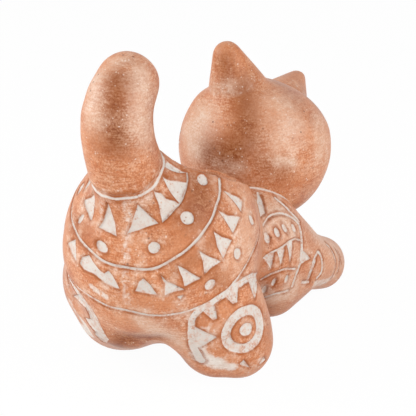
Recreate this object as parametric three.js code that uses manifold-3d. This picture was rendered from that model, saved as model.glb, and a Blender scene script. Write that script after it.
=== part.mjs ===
// A hand-built terracotta planter in the shape of a cat in a play bow.
// The hollow body is two press-moulded halves, with the planting mouth in the back and a drain hole below.
// The head, ears, nose, tail and legs are separate pieces of clay, each stuck to its seat with slip.
// Millimetres, +Z up. The cat's body points along -Y, and its left side is +X.

import * as THREE from 'three';
import { mergeVertices } from 'three/addons/utils/BufferGeometryUtils.js';
import Module from 'manifold-3d';

const wasm = await Module();
wasm.setup();

// Clay
const WALL = 6.5; // thickness of every hollow piece
const JOINT = 0.3; // slip joint between two pieces

// Body: an egg round a rump ball and a chest ball
const RUMP_RADIUS = 55.5;
const RUMP_HEIGHT = 68.5; // centre of the rump above the ground
const CHEST_RADIUS = 25;
const CHEST_HEIGHT = 36; // centre of the chest above the ground
const CHEST_REACH = 76; // centre of the chest ahead of the rump's centre
const RUMP_HALF_WIDTH = 50.5; // the body is a little slimmer than it is high

// Planting mouth and drain hole
const MOUTH_RADIUS = 37;
const MOUTH_LEAN = 24; // degrees that the mouth's axis leans forward from the vertical
const DRAIN_RADIUS = 5;

// Head: a hollow ball, turned to the cat's left and tilted to its right
const HEAD_RADIUS = 43.7;
const NECK_SINK = 7; // how deep the head ball would reach into the chest ball
const NECK_LEAN = 35.4; // degrees forward from the vertical, from the chest's centre to the head's
const HEAD_TURN = 82; // degrees
const HEAD_TILT = 25; // degrees

// Ears and nose, placed on the head as it looks straight ahead
const EAR_BASE_RADIUS = 19;
const EAR_TIP_RADIUS = 8;
const EAR_HEIGHT = 26; // from the centre of the base to the centre of the round tip
const EAR_SINK = 10; // how deep the centre of the base lies inside the head ball
const EAR_SPREAD = 42; // degrees from the crown to each ear
const EAR_SET_FORWARD = 10; // degrees that the ears lie ahead of the crown
const NOSE_RADIUS = 5.5;
const NOSE_DROP = 6; // degrees below the level line of the face

// Tail: one thick bent roll
const TAIL_ROOT_RADIUS = 21.5;
const TAIL_COLLAR_RADIUS = 18.6;
const TAIL_MIDDLE_RADIUS = 17.2;
const TAIL_TIP_RADIUS = 15;
const TAIL_ROOT_ANGLE = 35; // degrees back from the vertical, seen from the rump's centre
const TAIL_SINK = 14; // how deep the centre of the root lies under the rump's surface
const TAIL_COLLAR = 8; // how far the tail stands straight out of the rump before it bends
const TAIL_RISE = 25.5; // from the collar up to the bend
const TAIL_SET_BACK = 7; // from the collar back to the bend
const TAIL_TIP_RISE = 17.5; // from the bend up to the tip's centre
const TAIL_TIP_CURL = 10; // from the bend forward to the tip's centre

// Hind legs
const HIP_RADIUS = 32;
const HIP_SPREAD = 22.5; // from the middle of the body out to the hip
const HIP_HEIGHT = 45;
const HIP_SET_BACK = 3; // behind the rump's centre
const FOOT_RADIUS = 24.5;
const FOOT_SPREAD = 33.5;
const FOOT_SET_FORWARD = 5; // ahead of the rump's centre

// Front legs
const SHOULDER_RADIUS = 31;
const SHOULDER_SPREAD = 16;
const SHOULDER_HEIGHT = 46;
const SHOULDER_SET_BACK = 5; // behind the chest's centre
const ELBOW_RADIUS = 19.5;
const LEG_LAP = 2; // how much thinner one stretch of the leg ends, inside the next
const ELBOW_SPREAD = 27.5;
const ELBOW_SET_FORWARD = 2; // ahead of the chest's centre, as the next two are
const WRIST_RADIUS = 19;
const WRIST_SPREAD = 34;
const WRIST_HEIGHT = 22;
const WRIST_SET_FORWARD = 28;
const PAW_RADIUS = 16;
const PAW_SPREAD = 34.5;
const PAW_SET_FORWARD = 51;

const SOLE_CUT = 2; // depth of the flat cut under each paw and foot

const MERGE_DISTANCE = 0.0001; // corners closer than this are one

// Facets
const BODY_SIDES = 36;
const BODY_ARC_STEPS = 7;
const HEAD_SIDES = 26;
const LIMB_SIDES = 16;
const LIMB_RINGS = 5;
const CAP_STEPS = 4;
const HOLE_SIDES = 32;

const LEFT = 1;
const RIGHT = -1;
const radians = THREE.MathUtils.degToRad;

// Key points, in a frame with the rump's centre over the origin
const rump = new THREE.Vector3(0, 0, RUMP_HEIGHT);
const chest = new THREE.Vector3(0, -CHEST_REACH, CHEST_HEIGHT);
const neckLength = HEAD_RADIUS + CHEST_RADIUS - NECK_SINK;
const head = new THREE.Vector3(
  0,
  chest.y - neckLength * Math.sin(radians(NECK_LEAN)),
  chest.z + neckLength * Math.cos(radians(NECK_LEAN)),
);
const headRotation = new THREE.Euler(0, -radians(HEAD_TILT), radians(HEAD_TURN), 'ZYX');
const headMatrix = new THREE.Matrix4().makeRotationFromEuler(headRotation).setPosition(head);
const reach = 2 * (RUMP_HEIGHT + RUMP_RADIUS + CHEST_REACH + HEAD_RADIUS + PAW_SET_FORWARD); // past the cat

// A closed geometry as a solid that can be joined and cut. Triangles with no area are left out.
function solid(geometry) {
  const bare = geometry.clone();
  bare.deleteAttribute('normal');
  bare.deleteAttribute('uv');
  const merged = mergeVertices(bare, MERGE_DISTANCE);
  const corners = merged.index.array;
  const triangles = [];
  for (let i = 0; i < corners.length; i += 3) {
    const [a, b, c] = [corners[i], corners[i + 1], corners[i + 2]];
    if (a !== b && b !== c && c !== a) triangles.push(a, b, c);
  }
  return new wasm.Manifold(new wasm.Mesh({
    numProp: 3,
    vertProperties: new Float32Array(merged.attributes.position.array),
    triVerts: new Uint32Array(triangles),
  }));
}

// A solid as a named mesh of fired clay.
function piece(name, shape, colour) {
  const { vertProperties, triVerts } = shape.getMesh();
  const geometry = new THREE.BufferGeometry();
  geometry.setAttribute('position', new THREE.BufferAttribute(vertProperties, 3));
  geometry.setIndex(new THREE.BufferAttribute(triVerts, 1));
  geometry.computeVertexNormals();
  const clay = new THREE.MeshStandardMaterial({ color: colour, roughness: 0.55, metalness: 0 });
  const mesh = new THREE.Mesh(geometry, clay);
  mesh.name = name;
  return mesh;
}

// Points of an arc in a lathe's outline, from one angle to another, measured from the outward direction.
function arc(centre, radius, from, to, steps) {
  const points = [];
  for (let i = 0; i <= steps; i += 1) {
    const angle = from + ((to - from) * i) / steps;
    points.push(new THREE.Vector2(radius * Math.cos(angle), centre + radius * Math.sin(angle)));
  }
  points[0].x = from <= -Math.PI / 2 ? 0 : points[0].x;
  points[steps].x = to >= Math.PI / 2 ? 0 : points[steps].x;
  return points;
}

// Everything on one side of a plane through a point, as a large box.
function halfSpace(point, direction) {
  const box = new THREE.BoxGeometry(reach, reach, reach);
  const normal = direction.clone().normalize();
  box.applyQuaternion(new THREE.Quaternion().setFromUnitVectors(new THREE.Vector3(0, 0, 1), normal));
  box.translate(...point.clone().addScaledVector(normal, reach / 2).toArray());
  return solid(box);
}

// Everything on the cat's left or right, half a slip joint away from its middle.
function ownSide(side) {
  return halfSpace(new THREE.Vector3((side * JOINT) / 2, 0, 0), new THREE.Vector3(side, 0, 0));
}

// The egg of the body, grown outwards, or inwards when grow is negative.
function egg(grow) {
  const length = rump.distanceTo(chest);
  const large = RUMP_RADIUS + grow;
  const small = CHEST_RADIUS + grow;
  const slope = Math.asin((large - small) / length);
  const outline = [
    ...arc(0, large, -Math.PI / 2, slope, BODY_ARC_STEPS),
    ...arc(length, small, slope, Math.PI / 2, BODY_ARC_STEPS),
  ];
  const geometry = new THREE.LatheGeometry(outline, BODY_SIDES);
  const forward = chest.clone().sub(rump).normalize();
  geometry.applyQuaternion(new THREE.Quaternion().setFromUnitVectors(new THREE.Vector3(0, 1, 0), forward));
  geometry.scale((RUMP_HALF_WIDTH + grow) / large, 1, 1);
  geometry.translate(...rump.toArray());
  return geometry;
}

// The head ball in its own frame, with its poles on the line of sight.
function headBall(grow) {
  return new THREE.SphereGeometry(HEAD_RADIUS + grow, HEAD_SIDES, HEAD_SIDES / 2);
}

// A round limb that follows a smooth curve through some points, with a radius at each and round ends.
function limb(points, radii, grow = 0) {
  const curve = new THREE.CatmullRomCurve3(points);
  const length = curve.getLength();
  const along = [0];
  for (let i = 1; i < points.length; i += 1) {
    along.push(along[i - 1] + points[i].distanceTo(points[i - 1]));
  }
  const stretch = length / along[along.length - 1];
  const swell = new THREE.SplineCurve(radii.map((r, i) => new THREE.Vector2(r + grow, along[i] * stretch)));
  const first = radii[0] + grow;
  const last = radii[radii.length - 1] + grow;
  const outline = [
    ...arc(0, first, -Math.PI / 2, 0, CAP_STEPS),
    ...swell.getPoints(LIMB_RINGS).slice(1, -1),
    ...arc(length, last, 0, Math.PI / 2, CAP_STEPS),
  ];
  const geometry = new THREE.LatheGeometry(outline, LIMB_SIDES);
  const position = geometry.attributes.position;
  const sideways = new THREE.Vector3(1, 0, 0);
  for (let i = 0; i < position.count; i += 1) {
    const distance = position.getY(i);
    const inside = THREE.MathUtils.clamp(distance, 0, length);
    const tangent = curve.getTangentAt(inside / length);
    const across = sideways.clone().addScaledVector(tangent, -sideways.dot(tangent)).normalize();
    const upright = new THREE.Vector3().crossVectors(across, tangent);
    const place = curve.getPointAt(inside / length)
      .addScaledVector(tangent, distance - inside)
      .addScaledVector(across, position.getX(i))
      .addScaledVector(upright, position.getZ(i));
    position.setXYZ(i, place.x, place.y, place.z);
  }
  return geometry;
}

const bodySeat = solid(egg(JOINT));
const headSeat = solid(headBall(JOINT).applyMatrix4(headMatrix));
const overGround = halfSpace(new THREE.Vector3(0, 0, 0), new THREE.Vector3(0, 0, 1));
const overSole = halfSpace(new THREE.Vector3(0, 0, WALL), new THREE.Vector3(0, 0, 1));

// The hole of the planting mouth, from the middle of the rump out through the back.
function mouthHole() {
  const hole = new THREE.CylinderGeometry(MOUTH_RADIUS, MOUTH_RADIUS, reach, HOLE_SIDES);
  hole.translate(0, reach / 2, 0);
  hole.rotateX(Math.PI / 2 + radians(MOUTH_LEAN));
  hole.translate(...rump.toArray());
  return solid(hole);
}

// The two body halves, with the mouth and the drain hole cut across their seam.
function bodyHalves() {
  const drain = new THREE.CylinderGeometry(DRAIN_RADIUS, DRAIN_RADIUS, reach, HOLE_SIDES / 2);
  drain.translate(0, -reach / 2, 0);
  drain.rotateX(Math.PI / 2);
  drain.translate(...rump.toArray());
  const shell = solid(egg(0)).subtract(solid(egg(-WALL))).subtract(mouthHole()).subtract(solid(drain));
  const half = (name, side, colour) => piece(name, shell.intersect(ownSide(side)), colour);
  return [half('body_left_half', LEFT, 0xb5653f), half('body_right_half', RIGHT, 0xb8683f)];
}

// The head's own group: two bowls joined on the ring between the ears and the face, two ears and a nose.
function headGroup() {
  const group = new THREE.Group();
  group.position.copy(head);
  group.rotation.copy(headRotation);
  const bodyFromHead = solid(egg(JOINT).applyMatrix4(headMatrix.clone().invert()));
  const shell = solid(headBall(0)).subtract(solid(headBall(-WALL))).subtract(bodyFromHead);
  for (const [name, side, colour] of [['head_face_half', -1, 0xb96a42], ['head_back_half', 1, 0xb0613b]]) {
    const seam = new THREE.Vector3(0, (side * JOINT) / 2, 0);
    group.add(piece(name, shell.intersect(halfSpace(seam, new THREE.Vector3(0, side, 0))), colour));
  }
  const seat = solid(headBall(JOINT));
  for (const [name, side] of [['left_ear', LEFT], ['right_ear', RIGHT]]) {
    group.add(piece(name, ear(side).subtract(seat), 0xb4643d));
  }
  const nose = new THREE.SphereGeometry(NOSE_RADIUS, LIMB_SIDES, LIMB_SIDES / 2);
  nose.translate(0, -HEAD_RADIUS * Math.cos(radians(NOSE_DROP)), -HEAD_RADIUS * Math.sin(radians(NOSE_DROP)));
  group.add(piece('nose', solid(nose).subtract(seat), 0xa9583a));
  return group;
}

// One ear in the head's frame: a fat cone with a round tip.
function ear(side) {
  const out = side * radians(EAR_SPREAD);
  const ahead = radians(EAR_SET_FORWARD);
  const pointing = new THREE.Vector3(
    Math.sin(out),
    -Math.sin(ahead) * Math.cos(out),
    Math.cos(ahead) * Math.cos(out),
  );
  const base = pointing.clone().multiplyScalar(HEAD_RADIUS - EAR_SINK);
  const tip = base.clone().addScaledVector(pointing, EAR_HEIGHT);
  return solid(limb([base, tip], [EAR_BASE_RADIUS, EAR_TIP_RADIUS]));
}

// The tail, open at its root and trimmed along the mouth's rim.
function tail() {
  const angle = radians(TAIL_ROOT_ANGLE);
  const outward = new THREE.Vector3(0, Math.sin(angle), Math.cos(angle));
  const root = rump.clone().addScaledVector(outward, RUMP_RADIUS - TAIL_SINK);
  const collar = rump.clone().addScaledVector(outward, RUMP_RADIUS + TAIL_COLLAR);
  const bend = collar.clone().add(new THREE.Vector3(0, TAIL_SET_BACK, TAIL_RISE));
  const tip = bend.clone().add(new THREE.Vector3(0, -TAIL_TIP_CURL, TAIL_TIP_RISE));
  const points = [root, collar, bend, tip];
  const radii = [TAIL_ROOT_RADIUS, TAIL_COLLAR_RADIUS, TAIL_MIDDLE_RADIUS, TAIL_TIP_RADIUS];
  const hollow = solid(limb(points, radii)).subtract(solid(limb(points, radii, -WALL)));
  return piece('tail', hollow.subtract(bodySeat).subtract(mouthHole()), 0xb3623b);
}

// A leg from its stretches, each with points and radii: flat below, hollow, and open towards the body.
function leg(name, side, stretches, colour) {
  const joined = (grow) => stretches
    .map(([points, radii]) => solid(limb(points, radii, grow)))
    .reduce((whole, next) => whole.add(next));
  const outside = joined(0).intersect(overGround).intersect(ownSide(side));
  const inside = joined(-WALL).intersect(overSole);
  return piece(name, outside.subtract(inside).subtract(bodySeat).subtract(headSeat), colour);
}

function hindLeg(name, side) {
  const hip = new THREE.Vector3(side * HIP_SPREAD, HIP_SET_BACK, HIP_HEIGHT);
  const foot = new THREE.Vector3(side * FOOT_SPREAD, -FOOT_SET_FORWARD, FOOT_RADIUS - SOLE_CUT);
  return leg(name, side, [[[hip, foot], [HIP_RADIUS, FOOT_RADIUS]]], 0xb66740);
}

function frontLeg(name, side) {
  const at = (spread, forward, height) => new THREE.Vector3(side * spread, chest.y - forward, height);
  const shoulder = at(SHOULDER_SPREAD, -SHOULDER_SET_BACK, SHOULDER_HEIGHT);
  const elbow = at(ELBOW_SPREAD, ELBOW_SET_FORWARD, ELBOW_RADIUS - SOLE_CUT);
  const wrist = at(WRIST_SPREAD, WRIST_SET_FORWARD, WRIST_HEIGHT);
  const paw = at(PAW_SPREAD, PAW_SET_FORWARD, PAW_RADIUS - SOLE_CUT);
  const upperLeg = [[shoulder, elbow], [SHOULDER_RADIUS, ELBOW_RADIUS - LEG_LAP]];
  const muscle = [[shoulder, wrist], [SHOULDER_RADIUS - LEG_LAP, WRIST_RADIUS - LEG_LAP]];
  const foreleg = [[elbow, wrist, paw], [ELBOW_RADIUS, WRIST_RADIUS, PAW_RADIUS]];
  return leg(name, side, [upperLeg, muscle, foreleg], 0xb7673f);
}

// The whole cat, moved so that the middle of its footprint is over the origin and its soles are on Z = 0.
const cat = new THREE.Group();
cat.add(...bodyHalves(), headGroup(), tail());
cat.add(hindLeg('left_hind_leg', LEFT), hindLeg('right_hind_leg', RIGHT));
cat.add(frontLeg('left_front_leg', LEFT), frontLeg('right_front_leg', RIGHT));

const planter = new THREE.Group();
planter.add(cat);
const middle = new THREE.Box3().setFromObject(planter, true).getCenter(new THREE.Vector3());
cat.position.set(-middle.x, -middle.y, 0);

export default planter;
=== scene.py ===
"""A hand-built terracotta cat planter: clay forms, carved ornament rubbed with slip, finish and studio."""
import math
from functools import partial

import bpy
import numpy as np
from mathutils import Matrix, Vector


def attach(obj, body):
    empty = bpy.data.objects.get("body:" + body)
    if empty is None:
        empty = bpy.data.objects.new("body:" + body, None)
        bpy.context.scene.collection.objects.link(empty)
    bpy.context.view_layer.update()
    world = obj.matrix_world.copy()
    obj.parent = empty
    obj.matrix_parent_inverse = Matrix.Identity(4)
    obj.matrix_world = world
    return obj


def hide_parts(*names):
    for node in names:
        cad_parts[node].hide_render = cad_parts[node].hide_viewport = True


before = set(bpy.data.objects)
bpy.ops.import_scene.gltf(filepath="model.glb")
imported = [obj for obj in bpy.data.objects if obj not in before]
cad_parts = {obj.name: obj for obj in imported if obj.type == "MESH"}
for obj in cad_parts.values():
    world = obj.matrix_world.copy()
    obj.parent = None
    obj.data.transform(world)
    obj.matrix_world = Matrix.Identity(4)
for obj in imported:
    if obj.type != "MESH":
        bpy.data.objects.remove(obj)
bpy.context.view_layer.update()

MM = 0.001
LEFT = 1
RIGHT = -1

ORIGIN = Vector((0, 0, 0))
DOWN = Vector((0, 0, -1))

# Sizes of the clay forms, in millimetres: those of the solids, with the unevenness of hand work
WALL = 6.5
RUMP = Vector((0, 57.08, 68.5))
RUMP_RADIUS = 55.5
RUMP_HALF_WIDTH = 50.5
CHEST = Vector((0, -18.92, 36))
CHEST_RADIUS = 25
MOUTH_RADIUS = 37
MOUTH_LEAN = math.radians(24)
MOUTH_AXIS = Vector((0, -math.sin(MOUTH_LEAN), math.cos(MOUTH_LEAN)))
LIP_DIP = 9  # how far forward the lip is cut lower under the head
LIP_RADIUS = 35
DRAIN_RADIUS = 5
HEAD = Vector((0, -54.66, 86.29))
HEAD_RADIUS = 43.7
HEAD_TURN = math.radians(82)
HEAD_TILT = math.radians(25)
CROWN_START = 20  # above this height the head is patted flatter
CROWN_SHARE = 0.8
EAR_SPREAD = math.radians(42)
EAR_SET_FORWARD = math.radians(10)
EAR_SINK = 10
EAR_HEIGHT = {LEFT: 26, RIGHT: 28.5}
EAR_BASE_RADIUS = 19
EAR_TIP_RADIUS = {LEFT: 8, RIGHT: 5.5}
NOSE_RADIUS = 5.5
NOSE_DROP = math.radians(6)
NOSE_TAPER = 0.7
NOSE_SHAPE = (0.95, 0.85, 0.8)
TAIL_BALLS = [(Vector((0, y, z)), radius) for y, z, radius in (
    (80.88, 102.5, 21.5), (88.2, 112.4, 19.6), (94.0, 121.5, 18.6), (98.4, 131.5, 18.0),
    (100.9, 141.0, 17.7), (100.9, 149.0, 17.4), (97.6, 156.5, 16.6), (90.0, 163.2, 15.6),
)]
TAIL_AXIS = Vector((0, math.sin(math.radians(32)), math.cos(math.radians(32))))
TAIL_JOINT = 62.5  # from the rump's centre to the ring where the tail starts
RUMP_REACH = 72  # past this distance from its centre the skin is the tail's
HIND_LEG = [(Vector((22.5, 60.08, 45)), 32), (Vector((34, 52.08, 22.5)), 25)]
LEFT_FOOT_SHIFT = Vector((-4.5, -3, 0))  # the left hind foot was set a little further in
LEFT_FOLD = (Vector((10, 73, 40)), 26.5)  # and the belly runs down into it
RIGHT_HEELS = [  # the right hind foot spread more
    (Vector((-40, 51.4, 17.2)), 20),
    (Vector((-31.6, 54.7, 19.4)), 22),
]
FRONT_LEG = [
    (Vector((16, -13.92, 46)), 31),
    (Vector((25.5, -20.92, 17.5)), 18.5),
    (Vector((34, -46.92, 23.2)), 16),
    (Vector((34.5, -69.92, 14)), 16),
]
LEG_MUSCLE = [FRONT_LEG[0], (Vector((35, -44, 26)), 16.5), FRONT_LEG[3]]

# How the clay is worked, in millimetres: the spacing of the skin's faces at each stage
ROUGH_GRAIN = 1.3
JOINED_GRAIN = 1.2
EARED_GRAIN = 1.1
FINE_GRAIN = 1.0
REGION_GRAIN = 2.0
# How round the thumb leaves the joints, and the sponge the edges
HIND_THUMB = 14
FRONT_THUMB = 12
SHOULDER_THUMB = 2.5
EAR_THUMB = 4
SPONGE_RADIUS = 1.6
# Size and depth of the lumps that the hand leaves, and how often it rubs the skin
BODY_MARKS = (24, 1.0)
HEAD_MARKS = (26, 0.8)
RUB_FORCE = 0.5
RUB_PASSES = 3
LIP_PASSES = 16
# The skin that the finger rubs round the mouth: its least height over the rump, and its two edges
LIP_HEIGHT = 20
LIP_INNER = MOUTH_RADIUS - 8
LIP_OUTER = MOUTH_RADIUS + LIP_DIP + 6
# Lengths of the cutters, and the sides of round forms
MOUTH_CUT = 120
DRAIN_CUT = 100
BLOCK_SIZE = 400
LUMP_SIDES = 56
HOLE_SIDES = 96
NOSE_SIDES = 40
NOSE_RINGS = 24
# How much wider than the limb the space is that parts it off, and the slack at the seats
HIND_SPARE = 6
FRONT_SPARE = 5
EAR_SPARE = 3.2
LEG_SEAT = 1.2
EAR_SEAT = 0.3
MIDDLE_SLACK = 0.2

head_frame = Matrix.Translation(HEAD) @ Matrix.Rotation(HEAD_TURN, 4, "Z")
head_frame = head_frame @ Matrix.Rotation(-HEAD_TILT, 4, "Y")
head_in_metres = Matrix.Translation(HEAD * MM) @ head_frame.to_quaternion().to_matrix().to_4x4()


# Handling the clay

def choose(*objects):
    """Select these objects alone, the first one active."""
    bpy.ops.object.select_all(action="DESELECT")
    for obj in objects:
        obj.select_set(True)
    bpy.context.view_layer.objects.active = objects[0]


def apply_modifier(obj, kind, **settings):
    """Add one modifier with these settings and apply it."""
    choose(obj)
    modifier = obj.modifiers.new(kind.lower(), kind)
    for name, value in settings.items():
        setattr(modifier, name, value)
    bpy.ops.object.modifier_apply(modifier=modifier.name)
    return obj


def skin_of(obj):
    """The places and outward directions of a mesh's points, in millimetres."""
    count = len(obj.data.vertices)
    points = np.zeros(count * 3)
    normals = np.zeros(count * 3, np.float32)
    obj.data.vertices.foreach_get("co", points)
    obj.data.vertex_normals.foreach_get("vector", normals)
    return points.reshape(-1, 3) / MM, normals.reshape(-1, 3).astype(float)


def lengths(rows):
    """The length of each row."""
    return np.linalg.norm(rows, axis=1)


def pick(obj, points=None, faces=None):
    """Mark these points or faces alone for the next edit."""
    for part, chosen in ((obj.data.vertices, points), (obj.data.edges, None), (obj.data.polygons, faces)):
        part.foreach_set("select", np.zeros(len(part), bool) if chosen is None else chosen)


def new_form(add_primitive, **settings):
    """A plain form, chosen alone."""
    bpy.ops.object.select_all(action="DESELECT")
    add_primitive(**settings)
    return bpy.context.object


def ball(centre, radius):
    """A round lump of clay."""
    sides = {"segments": LUMP_SIDES, "ring_count": LUMP_SIDES // 2}
    return new_form(bpy.ops.mesh.primitive_uv_sphere_add, **sides, radius=radius * MM, location=centre * MM)


def fix_place(obj):
    """Put an object's place, turn and size into its mesh."""
    choose(obj)
    bpy.ops.object.transform_apply(location=True, rotation=True, scale=True)
    return obj


def press(objects):
    """Push lumps together into one object."""
    choose(*objects)
    if len(objects) > 1:
        bpy.ops.object.join()
    return fix_place(bpy.context.object)


def wrap(objects):
    """Roll lumps into one smooth form that hugs them all."""
    whole = press(objects)
    bpy.ops.object.mode_set(mode="EDIT")
    bpy.ops.mesh.select_all(action="SELECT")
    bpy.ops.mesh.convex_hull()
    bpy.ops.object.mode_set(mode="OBJECT")
    return whole


def roll(lumps):
    """A long roll of clay through lumps, each a centre and a radius."""
    return press([wrap([ball(*a), ball(*b)]) for a, b in zip(lumps, lumps[1:])])


def knead(obj, grain):
    """Fuse what overlaps into one even skin."""
    return apply_modifier(obj, "REMESH", mode="VOXEL", voxel_size=grain * MM, use_smooth_shade=True)


def swell(obj, amount):
    """Grow the skin outwards, or inwards where the amount is negative."""
    return apply_modifier(obj, "DISPLACE", strength=amount * MM, mid_level=0, direction="NORMAL")


def fill_creases(obj, radius, grain):
    """Smear clay into the inner corners, or round the outer edges off where the radius is negative."""
    swell(obj, radius)
    knead(obj, grain)
    swell(obj, -radius)
    return knead(obj, grain)


def rub_smooth(obj, passes, **settings):
    """Even the skin out with the palm."""
    return apply_modifier(obj, "SMOOTH", factor=RUB_FORCE, iterations=passes, **settings)


def finger_marks(obj, name, size, depth):
    """The slight lumps that shaping by hand leaves."""
    lumps = bpy.data.textures.new(name, "CLOUDS")
    lumps.noise_scale = size * MM
    lumps.noise_depth = 1
    return apply_modifier(obj, "DISPLACE", texture=lumps, strength=depth * MM, mid_level=0.5,
                          texture_coords="LOCAL", direction="NORMAL")


def cut(obj, cutter, operation="DIFFERENCE", keep=False):
    """Cut one form with another, which is thrown away or kept."""
    apply_modifier(obj, "BOOLEAN", operation=operation, solver="MANIFOLD", object=cutter)
    if not keep:
        bpy.data.objects.remove(cutter)
    return obj


def part_off(obj, region, name):
    """Cut a region of the clay off as a piece of its own, and leave the rest."""
    piece = obj.copy()
    piece.data = obj.data.copy()
    piece.name = name
    bpy.context.scene.collection.objects.link(piece)
    cut(piece, region, "INTERSECT", keep=True)
    cut(obj, region)
    return piece


def on_side(lumps, side):
    """The lumps of a left limb, or those of the right one."""
    return [(Vector((side * centre.x, centre.y, centre.z)), radius) for centre, radius in lumps]


def egg(grow=0):
    """The body's egg round the rump and the chest, grown by so much."""
    form = wrap([ball(RUMP, RUMP_RADIUS + grow), ball(CHEST, CHEST_RADIUS + grow)])
    form.scale.x = (RUMP_HALF_WIDTH + grow) / (RUMP_RADIUS + grow)
    return fix_place(form)


def aim(cutter, start, direction, length):
    """Lay a cutter of this length from a point along a direction."""
    ahead = direction.normalized()
    turn = ahead.to_track_quat("Z", "Y").to_matrix().to_4x4()
    cutter.matrix_world = Matrix.Translation((start + ahead * length / 2) * MM) @ turn
    return fix_place(cutter)


def pole(start, direction, length, radius):
    """A round cutter that runs from a point along a direction."""
    size = {"radius": radius * MM, "depth": length * MM}
    cutter = new_form(bpy.ops.mesh.primitive_cylinder_add, vertices=HOLE_SIDES, **size)
    return aim(cutter, start, direction, length)


def block(point, direction):
    """Everything past a plane through a point, as a big block."""
    cutter = new_form(bpy.ops.mesh.primitive_cube_add, size=BLOCK_SIZE * MM)
    return aim(cutter, point, direction, BLOCK_SIZE)


# The body with its tail and legs, as one skin

def hind_courses(side):
    """The thigh and the foot of one side, with the left fold or the right heels."""
    thigh, foot = on_side(HIND_LEG, side)
    if side == RIGHT:
        return [[thigh, foot], *([foot, heel] for heel in RIGHT_HEELS)]
    foot = (foot[0] + LEFT_FOOT_SHIFT, foot[1])
    return [[thigh, foot], [LEFT_FOLD, foot]]


def front_courses(side):
    """The bent front leg of one side, and its muscle."""
    return [on_side(lumps, side) for lumps in (FRONT_LEG, LEG_MUSCLE)]


def front_leg(side):
    """One front leg, smeared smooth where its rolls meet."""
    rolls = [roll(lumps) for lumps in front_courses(side)]
    return fill_creases(knead(press(rolls), JOINED_GRAIN), FRONT_THUMB, JOINED_GRAIN)


def model_body():
    """The body pressed together, smeared at its joints, hollowed, opened and sponged."""
    lumps = [egg(), roll(TAIL_BALLS)]
    lumps += [roll(course) for side in (LEFT, RIGHT) for course in hind_courses(side)]
    clay = knead(press(lumps), ROUGH_GRAIN)
    fill_creases(clay, HIND_THUMB, ROUGH_GRAIN)
    clay = knead(press([clay, front_leg(LEFT), front_leg(RIGHT)]), JOINED_GRAIN)
    fill_creases(clay, SHOULDER_THUMB, JOINED_GRAIN)
    finger_marks(clay, "palm_marks", *BODY_MARKS)
    cut(clay, block(ORIGIN, DOWN))
    cut(clay, egg(-WALL))
    cut(clay, pole(RUMP, MOUTH_AXIS, MOUTH_CUT, MOUTH_RADIUS))
    forward = Vector((0, -MOUTH_AXIS.z, MOUTH_AXIS.y))
    cut(clay, pole(RUMP + forward * LIP_DIP, MOUTH_AXIS, MOUTH_CUT, LIP_RADIUS))
    cut(clay, pole(RUMP, DOWN, DRAIN_CUT, DRAIN_RADIUS))
    fill_creases(clay, -SPONGE_RADIUS, FINE_GRAIN)
    rub_lip(clay)
    return rub_smooth(clay, RUB_PASSES)


def rub_lip(obj):
    """Run a wet finger round the lip of the mouth."""
    offset = skin_of(obj)[0] - np.array(RUMP)
    along = offset @ np.array(MOUTH_AXIS)
    aside = lengths(offset - along[:, None] * np.array(MOUTH_AXIS))
    near = (along > LIP_HEIGHT) & (aside > LIP_INNER) & (aside < LIP_OUTER)
    group = obj.vertex_groups.new(name="lip")
    group.add([int(i) for i in np.nonzero(near)[0]], 1.0, "REPLACE")
    rub_smooth(obj, LIP_PASSES, vertex_group="lip")
    obj.vertex_groups.clear()


# The head with its ears, as one skin

def ear(side, grow=0):
    """A cone with a round tip on one side of the crown, grown by so much."""
    pointing = Vector((
        side * math.sin(EAR_SPREAD),
        -math.sin(EAR_SET_FORWARD) * math.cos(EAR_SPREAD),
        math.cos(EAR_SET_FORWARD) * math.cos(EAR_SPREAD),
    ))
    root = HEAD_RADIUS - EAR_SINK
    base = head_frame @ (pointing * root)
    tip = head_frame @ (pointing * (root + EAR_HEIGHT[side]))
    base_radius = EAR_BASE_RADIUS + grow
    tip_radius = EAR_TIP_RADIUS[side] + grow
    sizes = {"radius1": base_radius * MM, "radius2": tip_radius * MM, "depth": EAR_HEIGHT[side] * MM}
    cone = new_form(bpy.ops.mesh.primitive_cone_add, vertices=LUMP_SIDES, **sizes)
    turn = (tip - base).to_track_quat("Z", "Y").to_matrix().to_4x4()
    cone.matrix_world = Matrix.Translation((base + tip) / 2 * MM) @ turn
    return wrap([cone, ball(tip, tip_radius)])


def skull():
    """The ball of the head, patted flatter between the ears."""
    form = ball(ORIGIN, HEAD_RADIUS)
    heights = skin_of(form)[0][:, 2]
    pick(form, points=heights > CROWN_START)
    bpy.ops.object.mode_set(mode="EDIT")
    bpy.ops.mesh.select_mode(type="VERT")
    bpy.ops.transform.resize(value=(1, 1, CROWN_SHARE), center_override=(0, 0, CROWN_START * MM))
    bpy.ops.object.mode_set(mode="OBJECT")
    form.matrix_world = head_in_metres
    return form


def model_head():
    """The ball and its ears, smeared together and rubbed smooth."""
    head = knead(press([skull(), ear(LEFT), ear(RIGHT)]), EARED_GRAIN)
    fill_creases(head, EAR_THUMB, FINE_GRAIN)
    finger_marks(head, "head_marks", *HEAD_MARKS)
    knead(head, FINE_GRAIN)
    return rub_smooth(head, RUB_PASSES)


def model_nose():
    """A pellet pressed on to the face, wide above and narrow below."""
    sides = {"segments": NOSE_SIDES, "ring_count": NOSE_RINGS}
    nose = new_form(bpy.ops.mesh.primitive_uv_sphere_add, **sides, radius=NOSE_RADIUS * MM)
    nose.name = "nose_pellet"
    apply_modifier(nose, "SIMPLE_DEFORM", deform_method="TAPER", deform_axis="Z", factor=NOSE_TAPER)
    nose.scale = NOSE_SHAPE
    fix_place(nose)
    forward = Vector((0, -math.cos(NOSE_DROP), -math.sin(NOSE_DROP))) * HEAD_RADIUS * MM
    nose.matrix_world = head_in_metres @ Matrix.Translation(forward)
    return fix_place(nose)


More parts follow.
